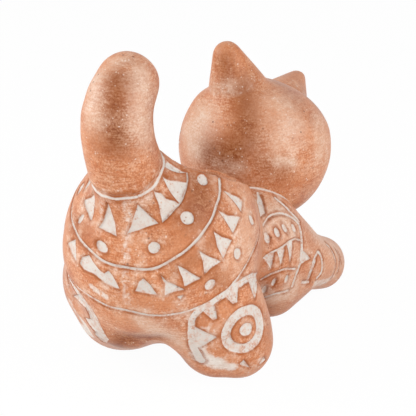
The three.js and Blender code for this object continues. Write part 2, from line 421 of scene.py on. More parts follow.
# Ornament, carved into the leather-hard clay. On the rump a place is two angles in degrees: from the tail's
# axis, and round it from the middle of the rear towards the cat's right. On a leg it is millimetres along and
# up its side. A line is its width and its course, a dot is its place, its two half sizes and its turn. A ring
# names the angle round the axis first.

RUMP_RINGS = [(1.1, [
    (-180, 15.5), (-130, 15.5), (-100, 16), (-80, 17), (-60, 18), (-35, 18.7), (0, 19), (35, 18.8), (60, 18),
    (80, 17), (100, 16), (130, 15.5), (180, 15.5),
]), (1.3, [
    (-135, 48), (-110, 48.6), (-90, 47.5), (-70, 45.5), (-55, 44.8), (-40, 45), (-27, 45.7), (-17, 47),
    (-7, 48.8), (3, 50), (12, 51), (22, 52.5), (30, 53.2), (40, 52.8), (50, 52), (62, 51), (73, 50),
    (83, 49.4), (95, 48.8), (110, 48.6), (135, 48),
]), (1.35, [
    (-125, 97), (-107, 94.8), (-90, 91.7), (-75, 88), (-60, 81), (-41, 76.2), (-26, 74.6), (-18, 74),
    (-9, 74.6), (0, 75.8), (8, 76.5), (18, 79.4), (26, 82.5), (34, 84.7), (44, 87), (60, 88.5), (75, 90),
    (86, 91.5), (96, 92.2), (107, 94.8), (125, 97),
]), (0.7, [
    (50, 32), (60, 31.4), (72, 30.6), (86, 29.7), (103, 29), (118, 28.5),
])]
COLLAR_TRIANGLES = [
    [(20.3, -38), (31, -58), (31.5, -46), (33.2, -30)],
    [(20.6, -9), (33.2, -17), (34.8, 4.3)],
    [(21, 31.5), (31.8, 46), (33.5, 14)],
    [(18.8, 60), (23, 57.5), (31.9, 50.6), (30.6, 75), (26, 74), (22, 70)],
    [(17.4, 86), (23, 99), (29.3, 104.5), (30, 76)],
    [(16.6, 104), (17, 124), (28, 117)],
    [(18, -84), (31, -97), (32, -71)],
    [(17, -116), (30, -128), (30, -106)],
]
COLLAR_LEAVES = [
    [(18.8, 66), (22, 74), (29.6, 76.5), (24, 69)],
    [(17.6, 92), (21, 105), (28.4, 108), (23.5, 100)],
]
HAUNCH_TRIANGLES = [
    [(50.8, 112.3), (57.7, 113.7), (66.9, 115.4), (67, 106.3), (61.7, 108.5)],
    [(50.6, 94.3), (57.9, 96.6), (67.1, 102.6), (66.6, 96), (66.3, 89.5), (58.1, 91.9)],
    [(54.7, 79.7), (61, 81.3), (68.4, 85.2), (69, 78.5), (70.7, 72.8), (62.3, 74.1)],
    [(56.5, 62.5), (63.4, 66.3), (71, 70.6), (69.1, 63.2), (69.6, 58.1), (62.8, 60.8)],
]
REAR_TRIANGLES = [
    [(56.5, 45.1), (60.9, 49.1), (70.6, 54.6), (69.4, 49.6), (69.4, 43.7), (63.4, 45.1)],
    [(57.6, 33.3), (62.4, 35.2), (71.1, 43.1), (69.9, 36.7), (69.8, 31.5), (63.6, 33.6)],
    [(64.3, 16.1), (59.3, 19), (57.5, 22.5), (62.1, 25.6), (68.1, 27.9)],
    [(53, -24), (49.7, -17.8), (52.1, -13.2), (54.5, -7.7), (55.8, -3.7), (53.5, 0), (55.8, 2.7), (63.2, 6.7),
     (61.1, -2.3), (58.4, -11.4), (59, -20.2), (57.5, -24.8)],
    [(56.7, -44.7), (47.8, -36.5), (58, -28.2)],
    [(73.4, 37.6), (74.2, 41.2), (76, 38.8)],
]
RUMP_DOTS = [
    (37.6, -43, 1.6, 2.7, 0), (42.1, -7.9, 3.9, 2.3, 20), (42.6, 34.6, 2.9, 2.8, 0), (38.5, 71, 3.3, 3.3, 0),
    (37.6, 114, 3.4, 2.9, 0), (38, -80, 3, 2.8, 0), (38, -115, 2.8, 2.8, 0),
]
HAUNCH_DOTS = [(78.6, 109, 2.2, 3, 0), (78, 83.5, 2.5, 3.2, 0)]  # on both sides
HIP_DOT = (77.8, 57.7, 2.9, 2.7, 0)

# A panel is a point on a leg, the way that its side faces, how far it reaches round the point, and the limits
# of the leg: the most of x, the least of y and the most of y
HIND_PANEL = (Vector((-53, 68, 34)), Vector((-0.7, 0.7, 0.1)), 62, (2, 18, math.inf))
HIND_BORDER_RIGHT = (3.4, [
    (-20, -18), (-21.9, -15.6), (-26.3, -6.7), (-28.4, 3.6), (-28.3, 11), (-24.4, 15.7), (-18.1, 18.6),
    (-10.8, 21.8), (-1.1, 24.6), (6.8, 24.4), (13, 21), (18, 16),
])
HIND_TEETH_RIGHT = [
    [(4.5, 24), (13, 20), (7.5, 13.6)],
    [(-11.5, 21), (-3, 23.5), (-4.3, 15.8), (-6.9, 15.6)],
    [(-23, 14.5), (-17.4, 17.5), (-16.2, 9.5), (-18.1, 9)],
    [(-27.5, 6), (-15.6, -1.4), (-24.7, -9.5)],
]
HIND_BORDER_LEFT = (3.4, [(-33.8, 23), (-22, 24), (-10, 25), (-1, 25), (7, 24.4), (13, 21), (18, 16)])
# The left thigh's rear, seen in a mirror
EDGE_PANEL = (Vector((-26, 92, 34)), Vector((-0.15, 0.95, 0.1)), 40, (2, 18, math.inf))
HIND_EDGE_LEFT = [
    (5.2, 21.8), (-0.9, 19.9), (-6.8, 16.9), (-9.3, 13.5), (-12.5, 10.7), (-13.4, 6.2), (-13.1, 0.2),
    (-13.6, -5.1), (-14.5, -9.5), (-8.3, -14.5), (-0.9, -17.7), (-0.7, -14.7), (0, -11.3), (-6, -6.9),
    (1.7, -1.7), (-5.8, 1.3), (-4.5, 8.2), (9.5, 8.4), (-1.2, 14.7), (3.7, 18.6), (7.8, 21.4),
]
HIND_TEETH_LEFT = [
    [(-31, 22), (-23, 23), (-23.5, 12)],
    [(-11.5, 24), (-3.5, 25), (-5.5, 15.8)],
    [(3.5, 24), (13.5, 20), (7.2, 14)],
]
HIND_SMALL = [[(-1.6, -20.6), (0.4, -18.2), (4, -24)], [(9.5, -23.5), (12.5, -19.2), (14, -22)]]
# Place, middle radius and width of each round stroke
HIND_CIRCLES = [(-0.1, -0.6, 10.5, 5.3), (0.9, -0.4, 1.8, 3.6)]

FRONT_PANEL = (Vector((-45, -15, 40)), Vector((-0.85, 0.5, 0.15)), 48, (-14, -47, 12))
FRONT_LINES = [
    (1.1, [(-23, 24), (-18, 27), (-12.3, 27.9), (-8.7, 27.4), (-4.3, 25.3), (0.2, 22.5), (3.1, 19.1)]),
    (1.1, [(-25.8, 6.9), (-18.9, 9.5), (-11.5, 11.4), (-7.4, 12.5), (-2.7, 12), (1.5, 10.1)]),
    (1.1, [(-24.6, -6.9), (-20.9, -4.4), (-15.2, -3), (-8.9, -3.7), (-2.4, -5.8)]),
    (1.0, [(-22, -21.5), (-15.2, -18.5), (-5.3, -18.2)]),
    (2.4, [(4.3, 18.7), (4, 11.6), (2.6, 4.3), (2.2, -2.9)]),
    (1.7, [(2.2, -2.9), (-0.2, -9.3), (-2.5, -16.5)]),
    (1.1, [(-5.7, 34), (-3.4, 30.6), (0.5, 25.1), (6.1, 18.6)]),
]
FRONT_TRIANGLES = [
    [(-25.8, 7), (-18.9, 9.6), (-21, -0.6)],
    [(-17.7, 9.9), (-12.3, 10.9), (-15.1, 0.5)],
    [(-10.6, 12), (-5.8, 12.7), (-8.4, -0.6)],
    [(3, 4), (11.5, -3.6), (3.2, -4.2)],
    [(-14.9, 38.4), (-13.7, 38.1), (-18.5, 28.9), (-23.8, 28.1), (-19.7, 34.5)],
]
FRONT_DOTS = [
    (-22.6, 17.2, 1.7, 3.1, 12), (-15.7, 19, 1.5, 2.6, 12), (-9.8, 19.9, 1.2, 2.5, 20),
    (-2.6, 17.9, 1.2, 2.5, 20), (-17, -9.6, 1.3, 2.3, -8), (-8.6, -9.9, 1.2, 2.3, -8),
    (-21.1, -14, 1.2, 2.4, 0),
]

PAW_PANEL = (Vector((-48, -55, 20)), Vector((-0.9, 0.3, 0.3)), 45, (-30, -math.inf, -22))
PAW_LINES = [
    (1.6, [(-26.6, -1), (-25.7, 4), (-24.1, 9.4), (-20.7, 12.5), (-18, 13.5), (-15.2, 9.7), (-14.4, 4.8),
           (-14.6, 0.8), (-17.4, -2)]),
    (2.4, [(-25.9, 0.5), (-25, 5), (-22.6, 9.6)]),
    (1.5, [(-40, 1.3), (-32, -0.3), (-24.6, -2.2)]),
    (1.1, [(-2.3, 14.4), (0.5, 11.2), (2.5, 6.5), (3.5, 1.4), (2.6, -3.1), (1, -6.9)]),
    (0.9, [(7.5, 8.5), (9, 4.8), (9.4, 1.1), (9, -2.6), (7.6, -6)]),
    (0.8, [(11.3, 5.2), (11.4, 2.4)]),
    (0.8, [(11.2, 0), (12, -2.6)]),
]
TOE_LINE = (1.0, [(-76, 26), (-81, 22), (-84.5, 15), (-84.5, 8)])  # its course runs forward and up
TOE_SPREAD = [27, 34, 41]

# The face, in degrees across and up from its middle: the line under the nose, and the lines of one side
LIP_LINE = (1.4, [(0, -12), (0, -18)])
CHEEK_LINES = [
    (1.5, [(33, 13), (28, 18.5), (21, 20), (13, 16), (10, 11), (16, 8.5), (24, 8.5), (33, 13)]),
    (1.4, [(0, -18), (5, -23), (11, -24), (17, -20)]),
    (1.2, [(16, -7), (28, -4), (40, -3)]),
    (1.2, [(16, -11), (28, -11), (40, -12)]),
    (1.2, [(16, -15), (27, -18), (38, -21)]),
]
FACE_DOTS = [(-21.5, 14, 2.2, 3.4, 0), (21.5, 14, 2.2, 3.4, 0)]
BROW_TRIANGLES = [[(-9, 38), (0, 24), (9, 38)], [(-4.5, 52), (0, 43), (4.5, 52)]]

# The tool's work, in millimetres
CARVING_DEPTH = 1.0
CARVING_EDGE = (0.5, -0.45)  # across its outline it falls to its depth
REFINE_REACH = 1.3
LEAST_SHARE = 0.01  # of the depth
FAR = 50.0  # a distance past which nothing is carved
OFF_RING = -FAR * 9  # a level for where a ring is not drawn
HAZE_REACH = 6.5  # how far from the carving the rubbed slip leaves a haze
COURSE_STEPS = 4
# How far an unsteady hand strays, and the pace and start of its two swings
SHAKE = 0.13
SLOW_SWING = (0.31, 1.3)
QUICK_SWING = (0.67, 0.4)
# How squarely the skin has to face a dot, a triangle or a panel, as a cosine, and the least that is used
DOT_SIGHT = 0.9
TRIANGLE_SIGHT = 0.87
PANEL_SIGHT = 0.12
LEAST_SIGHT = 0.3
# The rump's skin lies outside this share of its size, behind this place
SKIN_SHARE = 0.93
SKIN_START = 30
CAVITY_DEPTH = 2.2  # skin deeper than this in the egg is the cavity's
# Where the rump's ornament gives way to the legs
SHOULDER_START = 2
SHOULDER_INNER = 18
THIGH_TOP = 55
THIGH_FRONT = 20
THIGH_REAR = 88
THIGH_INNER = 36
THIGH_SLOPE = 20
# The face reaches so many degrees to each side, and stands out so far at most
FACE_HALF_ANGLE = 70
FACE_RELIEF = 4

# Shallow hollows under the belly: the course of each, its reach and its strength
BELLY_HOLLOWS = [
    ([(-2, 94, 27), (-9, 95, 28), (-17, 93, 28)], 8, 1.0),
    ([(-7, 70, 15), (-9.5, 79.3, 18.5), (-12, 88, 24)], 6.5, 0.95),
]
BELLY_HOLLOW_DEPTH = 2.6

REAR = Vector((0, TAIL_AXIS.z, -TAIL_AXIS.y))
ASIDE = Vector((-1, 0, 0))
MIRROR = np.array((-1, 1, 1))


def unsteady(points):
    """Places shifted a little, as an unsteady hand draws them."""
    slow = np.sin(points[:, [1, 2, 0]] * SLOW_SWING[0] + SLOW_SWING[1])
    quick = np.sin(points[:, [2, 0, 1]] * QUICK_SWING[0] + QUICK_SWING[1])
    return points + SHAKE * (slow + quick)


def smooth_course(stops):
    """A line drawn smoothly through its stops."""
    stops = np.array(stops, float)
    ends = np.vstack([2 * stops[0] - stops[1], stops, 2 * stops[-1] - stops[-2]])
    course = []
    for before, start, end, after in zip(ends, ends[1:], ends[2:], ends[3:]):
        for t in np.linspace(0, 1, COURSE_STEPS + 1)[:-1]:
            pull = (2 * start + (end - before) * t + (2 * before - 5 * start + 4 * end - after) * t ** 2
                    + (3 * start - before - 3 * end + after) * t ** 3)
            course.append(pull / 2)
    return np.array(course + [stops[-1]])


def from_segment(places, start, end):
    """Distance to a straight stretch."""
    along = end - start
    share = np.clip((places - start) @ along / (along @ along), 0, 1)
    return lengths(places - start - share[:, None] * along)


def from_course(places, course):
    """Distance to a line of straight stretches."""
    return np.min([from_segment(places, a, b) for a, b in zip(course, course[1:])], axis=0)


def close_to(places, stops, margin):
    """Which places lie in the box round some stops, or close to it."""
    low = np.min(stops, axis=0) - margin
    high = np.max(stops, axis=0) + margin
    return np.all((places > low) & (places < high), axis=1)


def from_line(places, stops, width):
    """Distance to a stroke of a tool of this width, negative inside."""
    course = smooth_course(stops)
    distance = np.full(len(places), FAR)
    close = close_to(places, course, HAZE_REACH)
    if close.any():
        distance[close] = from_course(places[close], course) - width / 2
    return distance


def from_outline(places, corners, margin=HAZE_REACH):
    """Distance to a cut-out shape, negative inside."""
    corners = np.array(corners, float)
    distance = np.full(len(places), FAR)
    close = close_to(places, corners, margin)
    x, y = places[close].T
    inside = np.zeros(len(x), bool)
    nearest = np.full(len(x), FAR)
    for a, b in zip(corners, np.roll(corners, -1, axis=0)):
        nearest = np.minimum(nearest, from_segment(places[close], a, b))
        if a[1] != b[1]:
            crossing = (a[1] > y) != (b[1] > y)
            inside ^= crossing & (x < (b[0] - a[0]) * (y - a[1]) / (b[1] - a[1]) + a[0])
    distance[close] = np.where(inside, -nearest, nearest)
    return distance


def from_circle(places, circle):
    """Distance to a round stroke: its place, middle radius and width."""
    x, y, radius, width = circle
    return np.abs(lengths(places - (x, y)) - radius) - width / 2


def from_dot(places, dot):
    """Distance to an oval dot: its place, half sizes and turn."""
    x, y, half_width, half_height, turn = dot
    cosine = math.cos(math.radians(turn))
    sine = math.sin(math.radians(turn))
    offset = (places - (x, y)) @ np.array([[cosine, -sine], [sine, cosine]])
    reach = lengths(offset / (half_width, half_height))
    return (reach - 1) * min(half_width, half_height)


def rump_direction(down, round_):
    """The direction from the rump's centre of a place given by its two angles."""
    slant = math.radians(down)
    turn = math.radians(round_)
    return TAIL_AXIS * math.cos(slant) + (REAR * math.cos(turn) + ASIDE * math.sin(turn)) * math.sin(slant)


def rump_angles(points):
    """Distances, directions and the two angles of points from the rump's centre."""
    offset = points - np.array(RUMP)
    radius = lengths(offset)
    outward = offset / radius[:, None]
    down = np.degrees(np.arccos(np.clip(outward @ np.array(TAIL_AXIS), -1, 1)))
    round_ = np.degrees(np.arctan2(-outward[:, 0], outward @ np.array(REAR)))
    return radius, outward, down, round_


def rump_patch(outward, down, round_):
    """The skin round a place of the rump laid flat, in units of the skin's radius."""
    middle = rump_direction(down, round_)
    across = (rump_direction(down, round_ + 1) - rump_direction(down, round_ - 1)).normalized()
    downward = middle.cross(across)
    if downward.dot(rump_direction(down + 1, round_) - middle) < 0:
        downward = -downward
    near = np.maximum(outward @ np.array(middle), LEAST_SIGHT)
    return np.stack([outward @ np.array(across) / near, outward @ np.array(downward) / near], axis=1)


def from_rump_outline(outward, radius, corners):
    """Distance to a cut-out shape on the rump."""
    down, round_ = np.mean(corners, axis=0)
    near = outward @ np.array(rump_direction(down, round_)) > TRIANGLE_SIGHT
    flat = rump_patch(np.array([rump_direction(*corner) for corner in corners]), down, round_)
    distance = np.full(len(outward), FAR)
    margin = HAZE_REACH / RUMP_RADIUS
    distance[near] = from_outline(rump_patch(outward[near], down, round_), flat, margin) * radius[near]
    return distance


def carve_rump(points):
    """Distance to the ornament round the rump."""
    radius, outward, down, round_ = rump_angles(points)
    distance = np.full(len(points), FAR)
    for width, stops in RUMP_RINGS:
        course = smooth_course(stops)
        level = np.interp(round_, course[:, 0], course[:, 1], left=OFF_RING, right=OFF_RING)
        distance = np.minimum(distance, np.radians(np.abs(down - level)) * radius - width / 2)
    left_triangles = [[(d, -r) for d, r in corners] for corners in HAUNCH_TRIANGLES]
    for corners in COLLAR_TRIANGLES + HAUNCH_TRIANGLES + REAR_TRIANGLES + left_triangles:
        distance = np.minimum(distance, from_rump_outline(outward, radius, corners))
    for corners in COLLAR_LEAVES:
        distance = np.maximum(distance, -from_rump_outline(outward, radius, corners))
    distance[radius > RUMP_REACH] = FAR
    left_dots = [(d, -r, *shape) for d, r, *shape in HAUNCH_DOTS]
    for d, r, *shape in RUMP_DOTS + HAUNCH_DOTS + [HIP_DOT] + left_dots:
        near = outward @ np.array(rump_direction(d, r)) > DOT_SIGHT
        places = rump_patch(outward[near], d, r) * radius[near, None]
        distance[near] = np.minimum(distance[near], from_dot(places, (0, 0, *shape)))
    return distance


def lay_flat(points, normals, origin, facing, reach):
    """The places on a leg's panel, and which points lie on it."""
    facing = facing.normalized()
    along = Vector((facing.y, -facing.x, 0)).normalized()
    if along.y > 0:
        along = -along
    upward = facing.cross(along)
    upward = upward if upward.z > 0 else -upward
    offset = points - np.array(origin)
    places = np.stack([offset @ np.array(along), offset @ np.array(upward)], axis=1)
    on_it = (normals @ np.array(facing) > PANEL_SIGHT) & (lengths(offset) < reach)
    return places, on_it


def carve_side(points, normals, left):
    """Distance to the ornament of the right legs, or of the left ones seen in a mirror."""
    distance = np.full(len(points), FAR)
    x, y, _ = points.T

    def add(panel, shapes):
        origin, facing, reach, (inner, front, rear) = panel
        places, on_it = lay_flat(points, normals, origin, facing, reach)
        on_it &= (x < inner) & (y > front) & (y < rear)
        for measure, *shape in shapes:
            distance[on_it] = np.minimum(distance[on_it], measure(places[on_it], *shape))

    width, stops = HIND_BORDER_LEFT if left else HIND_BORDER_RIGHT
    teeth = HIND_TEETH_LEFT if left else HIND_TEETH_RIGHT
    shapes = [(from_line, stops, width)]
    shapes += [(from_outline, corners) for corners in teeth + HIND_SMALL]
    shapes += [(from_circle, circle) for circle in HIND_CIRCLES]
    add(HIND_PANEL, shapes)
    if left:
        add(EDGE_PANEL, [(from_outline, HIND_EDGE_LEFT)])
    shapes = [(from_line, stops, width) for width, stops in FRONT_LINES]
    shapes += [(from_outline, corners) for corners in FRONT_TRIANGLES]
    shapes += [(from_dot, dot) for dot in FRONT_DOTS]
    add(FRONT_PANEL, shapes)
    add(PAW_PANEL, [(from_line, stops, width) for width, stops in PAW_LINES])
    width, stops = TOE_LINE
    for spread in TOE_SPREAD:
        stroke = [(-spread, *stop) for stop in stops]
        distance = np.minimum(distance, from_line(points, stroke, width))
    return distance


def inside_cavity(points):
    """Which points belong to the wall of the cavity."""
    axis = np.array(CHEST - RUMP)
    share = np.clip((points - np.array(RUMP)) @ axis / (axis @ axis), 0, 1)
    slim = (points - np.array(RUMP) - share[:, None] * axis) / (RUMP_HALF_WIDTH / RUMP_RADIUS, 1, 1)
    radius = RUMP_RADIUS + share * (CHEST_RADIUS - RUMP_RADIUS)
    return lengths(slim) < radius - CAVITY_DEPTH


def on_leg(points):
    """Which points lie on a leg, where the rump's ornament ends."""
    x, y, z = points.T
    aside = np.abs(x)
    front = (y < SHOULDER_START) & (aside > SHOULDER_INNER)
    low = (z < THIGH_TOP) & (z < THIGH_SLOPE + aside)
    return front | low & (y > THIGH_FRONT) & (y < THIGH_REAR) & (aside > THIGH_INNER)


def carve_body(points, normals):
    """Distance to all the ornament of the body and the legs."""
    shaky = unsteady(points)
    right = carve_side(shaky, normals, False)
    left = carve_side(shaky * MIRROR, normals * MIRROR, True)
    rump = np.where(on_leg(points), FAR, carve_rump(shaky))
    size = (RUMP_HALF_WIDTH, RUMP_RADIUS, RUMP_RADIUS)
    sunk = lengths((points - np.array(RUMP)) / size) <= SKIN_SHARE
    plain = inside_cavity(points) | sunk & (points[:, 1] > SKIN_START)
    return np.where(plain, FAR, np.minimum(rump, np.minimum(right, left)))


def carve_head(points):
    """Distance to the lines of the face."""
    inverse = np.array(head_frame.inverted())
    local = unsteady(points) @ inverse[:3, :3].T + inverse[:3, 3]
    radius = lengths(local)
    outward = local / radius[:, None]
    across = np.degrees(np.arctan2(outward[:, 0], -outward[:, 1]))
    upward = np.degrees(np.arcsin(np.clip(outward[:, 2], -1, 1)))
    degree = math.radians(1) * HEAD_RADIUS
    near = (np.abs(across) < FACE_HALF_ANGLE) & (radius < HEAD_RADIUS + FACE_RELIEF)
    places = np.stack([across, upward], axis=1)[near] * degree
    shapes = [from_line(places, np.array(LIP_LINE[1]) * degree, LIP_LINE[0])]
    for side in (LEFT, RIGHT):
        scale = (side * degree, degree)
        shapes += [from_line(places, np.array(stops) * scale, width) for width, stops in CHEEK_LINES]
    shapes += [from_outline(places, np.array(corners) * degree) for corners in BROW_TRIANGLES]
    shapes += [from_dot(places, (x * degree, y * degree, *shape)) for x, y, *shape in FACE_DOTS]
    distance = np.full(len(points), FAR)
    distance[near] = np.min(shapes, axis=0)
    return distance


def ease(value, start, end):
    """A soft step from 0 at the start to 1 at the end."""
    t = np.clip((value - start) / (end - start), 0, 1)
    return t * t * (3 - 2 * t)


def push_in(obj, shares, depth):
    """Press the skin in by a share of a depth, point by point."""
    group = obj.vertex_groups.new(name="pushed")
    for i in np.nonzero(shares > LEAST_SHARE)[0]:
        group.add([int(i)], float(shares[i]), "REPLACE")
    apply_modifier(
        obj, "DISPLACE", strength=-depth * MM, mid_level=0, direction="NORMAL", vertex_group="pushed")
    obj.vertex_groups.clear()
    return obj


def carve(obj, distance):
    """Cut the ornament into the skin."""
    return push_in(obj, ease(distance, *CARVING_EDGE), CARVING_DEPTH)


def hollow_belly(obj):
    """Press the shallow hollows under the belly."""
    points, _ = skin_of(obj)
    shares = settle(points, BELLY_HOLLOWS)
    shares[inside_cavity(points)] = 0
    return push_in(obj, shares, BELLY_HOLLOW_DEPTH)


def refine(obj, distance):
    """Give the edges of the ornament more faces."""
    corners = np.zeros(len(obj.data.loops), np.int32)
    obj.data.loops.foreach_get("vertex_index", corners)
    starts = np.zeros(len(obj.data.polygons), np.int32)
    obj.data.polygons.foreach_get("loop_start", starts)
    busy = np.minimum.reduceat(np.abs(distance)[corners], starts) < REFINE_REACH
    choose(obj)
    pick(obj, faces=busy)
    bpy.ops.object.mode_set(mode="EDIT")
    bpy.ops.mesh.select_mode(type="FACE")
    bpy.ops.mesh.subdivide(number_cuts=1)
    bpy.ops.object.mode_set(mode="OBJECT")
    return obj


def mark(obj, name, values):
    """Keep a number for each point of a piece, for its finish."""
    attribute = obj.data.attributes.new(name, "FLOAT", "POINT")
    attribute.data.foreach_set("value", values.astype(np.float32))


# Slip left in the joints and smeared beside the carving: its course on the rump, reach and strength
RUMP_SMEARS = [
    ([(20, 22), (30, 17), (40, 14), (50, 12.5), (60, 11), (70, 10)], 2.6, 0.5),
    ([(66, -13), (69, -3)], 2.0, 0.7),
    ([(24, -19), (28, -16)], 3.0, 0.5),
    ([(21, 40), (22, 55)], 3.0, 0.45),
    ([(75, 50), (66, 78), (62, 100)], 6.0, 0.25),
]
# The same on the legs, after each panel and how far round its point they reach
LEG_SMEARS = [
    (HIND_PANEL, 60, [
        ([(-24, -9), (-21, -15), (-13, -18.7)], 4.6, 1.0),
        ([(-12, -20), (-5, -22.3)], 3.2, 0.9),
        ([(9, -20), (13, -21)], 2.6, 0.6),
        ([(-22, 3), (-22, -6)], 4, 0.6),
    ]),
    (PAW_PANEL, 45, [
        ([(-17.5, -5), (-4.4, -7.9), (2.6, -7.3)], 2.6, 0.7),
        ([(-19, 8), (-20, 3)], 3, 0.4),
    ]),
]
# A smear fades between these shares of its reach. The rump's are laid flat at one radius and end at another
RUMP_FADE = (1.6, 0.3)
PANEL_FADE = (1.5, 0.3)
SMEAR_RADIUS = 55
SMEAR_END = RUMP_REACH - 4
# Slip in the neck's joint and at the roots of the ears, by the distance from the head's ball
NECK_FADE = (5.0, 1.8)
EAR_CHALK = 0.3
EAR_ROOT = (0.4, 1.4)
EAR_FADE = (9, 3)


def faded(distance, reach, strength, fade):
    """How much of a smear is left at a distance from its middle."""
    return strength * ease(distance, reach * fade[0], reach * fade[1])


def smear_body(points, normals):
    """How much slip is left on the skin of the body, from 0 to 1."""
    radius, _, down, round_ = rump_angles(points)
    slant = np.radians(down)
    places = np.stack([slant * radius, np.radians(round_) * radius * np.sin(slant)], axis=1)
    chalk = np.zeros(len(points))
    for stops, reach, strength in RUMP_SMEARS:
        slants, turns = np.radians(stops).T
        course = SMEAR_RADIUS * np.stack([slants, turns * np.sin(slants)], axis=1)
        chalk = np.maximum(chalk, faded(from_course(places, course), reach, strength, RUMP_FADE))
    chalk[radius > SMEAR_END] = 0
    for mirror in (1, MIRROR):
        for panel, panel_reach, smears in LEG_SMEARS:
            places, on_it = lay_flat(points * mirror, normals * mirror, *panel[:2], panel_reach)
            for stops, reach, strength in smears:
                smear = faded(from_line(places, stops, 0), reach, strength, PANEL_FADE)
                chalk = np.maximum(chalk, np.where(on_it, smear, 0))
    to_head = np.abs(lengths(points - np.array(HEAD)) - HEAD_RADIUS)
    return np.maximum(chalk, ease(to_head, *NECK_FADE))


def smear_head(points):
    """How much slip is left on the skin of the head, at the roots of the ears."""
    out = lengths(points - np.array(HEAD)) - HEAD_RADIUS
    return EAR_CHALK * ease(out, *EAR_ROOT) * ease(out, *EAR_FADE)


# Painted shade: darker clouds laid where shade falls, down the middle of the head and of the tail, on the
# rump and under the belly, with a few clouds of firing tone on the far sides: a course through the space, its
# reach and its strength
SHADE_AND_FIRE_CLOUDS = [
    ([(-1, -36, 127), (-6, -28, 121), (-11, -22, 112), (-11, -17, 104)], 10, 0.9),
    ([(-12, -17, 104), (-6, -13, 96), (8, -12, 93)], 11, 0.9),
    ([(-16, -16, 98), (-26, -20, 88), (-32, -25, 85)], 8, 0.5),
    ([(7, -30, 142), (4, -30, 131)], 7, 0.6),
    ([(-4, 106, 170), (-5, 111, 164), (-7, 114, 158), (-8, 116, 151), (-9, 116, 144)], 8, 0.95),
    ([(0, 104, 172), (-2, 100, 175), (-6, 96, 176)], 4, 0.5),
    ([(-30, 74, 110), (-33, 78, 104), (-33, 85, 100)], 11, 0.85),
    ([(-16, 98, 108), (-15, 100, 102)], 6, 0.4),
    ([(-42, 82, 86), (-41, 87, 82), (-36, 94, 78), (-31, 100, 74)], 5, 0.45),
    ([(-46, 79, 62), (-43, 85, 70)], 7, 0.45),
    ([(10, 88, 20), (2, 93, 26), (-9, 95, 29), (-15, 94, 30)], 8, 1.0),
    ([(25, 101, 87), (18, 105, 88)], 6, 0.4),
    ([(-26, 101, 90), (-20, 103, 91)], 9, 0.25),
    ([(-12, 104, 93), (-3, 105, 95)], 8, 0.15),
    ([(46, 66, 96), (50, 54, 82)], 12, 0.5),
    ([(34, -78, 84), (20, -92, 74)], 12, 0.5),
    ([(-20, -90, 104), (-30, -80, 112)], 11, 0.45),
    ([(42, -22, 50), (46, -30, 34)], 10, 0.45),
]
# Painted highlights: pale films laid where the soft lamps light the tail, the head, the flanks and the legs,
# partly thin films of slip that the wiping left: as the clouds
HIGHLIGHT_AND_SLIP_FILMS = [
    ([(-12, 97, 171), (-15, 101, 162), (-16, 106, 154), (-17, 105, 144)], 8, 0.5),
    ([(8, 107, 168), (6, 114, 161), (4, 118, 153)], 7, 0.6),
    ([(1, 99, 176), (-2, 95, 177)], 6, 0.4),
    ([(-25, -38, 119), (-31, -34, 109), (-30, -28, 102)], 13, 0.42),
    ([(21, -16, 95), (25, -22, 102), (19, -22, 109)], 11, 0.68),
    ([(-40, -55, 104), (-43, -49, 92)], 10, 0.4),
    ([(15, -30, 124), (10, -32, 127), (5, -32, 128)], 5, 0.4),
    ([(-48, 57, 86), (-50, 58, 76), (-50, 66, 70)], 10, 0.32),
    ([(-14, 106, 48), (-17, 101, 41), (-22, 94, 35), (-25, 87, 28)], 6, 0.57),
    ([(-36, -5, 67), (-40, -6, 64), (-44, -7, 59)], 12, 0.6),
    ([(-44, -42, 44), (-46, -56, 34), (-46, -68, 24)], 11, 0.42),
    ([(-39, -5, 17), (-44, -10, 18), (-47, -16, 20)], 8, 0.5),
    ([(-30, -22, 92), (-35, -28, 90)], 4, 0.6),
    ([(4, -11, 88), (-12, -12, 88)], 4, 0.3),
    ([(48, 40, 70), (50, 62, 66)], 12, 0.4),
    ([(30, -62, 118), (36, -70, 104)], 10, 0.4),
    ([(0, -96, 98), (8, -97, 90)], 9, 0.35),
    ([(44, -50, 30), (44, -66, 22)], 9, 0.4),
]


def settle(points, places):
    """How much of some painted shade, painted highlights or hollows lies on the skin, from 0 to 1."""
    amount = np.zeros(len(points))
    for stops, reach, strength in places:
        distance = from_course(points, np.array(stops, float))
        amount = np.maximum(amount, strength * np.exp(-(distance / reach) ** 2))
    return amount


# Shaping and carving

body = hollow_belly(model_body())
head = model_head()
cut(head, body, keep=True)
refine(body, carve_body(*skin_of(body)))
refine(head, carve_head(skin_of(head)[0]))
carve(body, carve_body(*skin_of(body)))
carve(head, carve_head(skin_of(head)[0]))


# Parting the skin into its pieces along the joints

def leg_region(courses, side, spare):
    """The space of one leg outside the body's egg, on its own side of the cat."""
    wider = [[(centre, radius + spare) for centre, radius in lumps] for lumps in courses]
    region = knead(press([roll(lumps) for lumps in wider]), REGION_GRAIN)
    cut(region, egg(LEG_SEAT))
    return cut(region, block(Vector((side * MIDDLE_SLACK, 0, 0)), Vector((-side, 0, 0))))


body.name = "body_skin"
head.name = "head_skin"
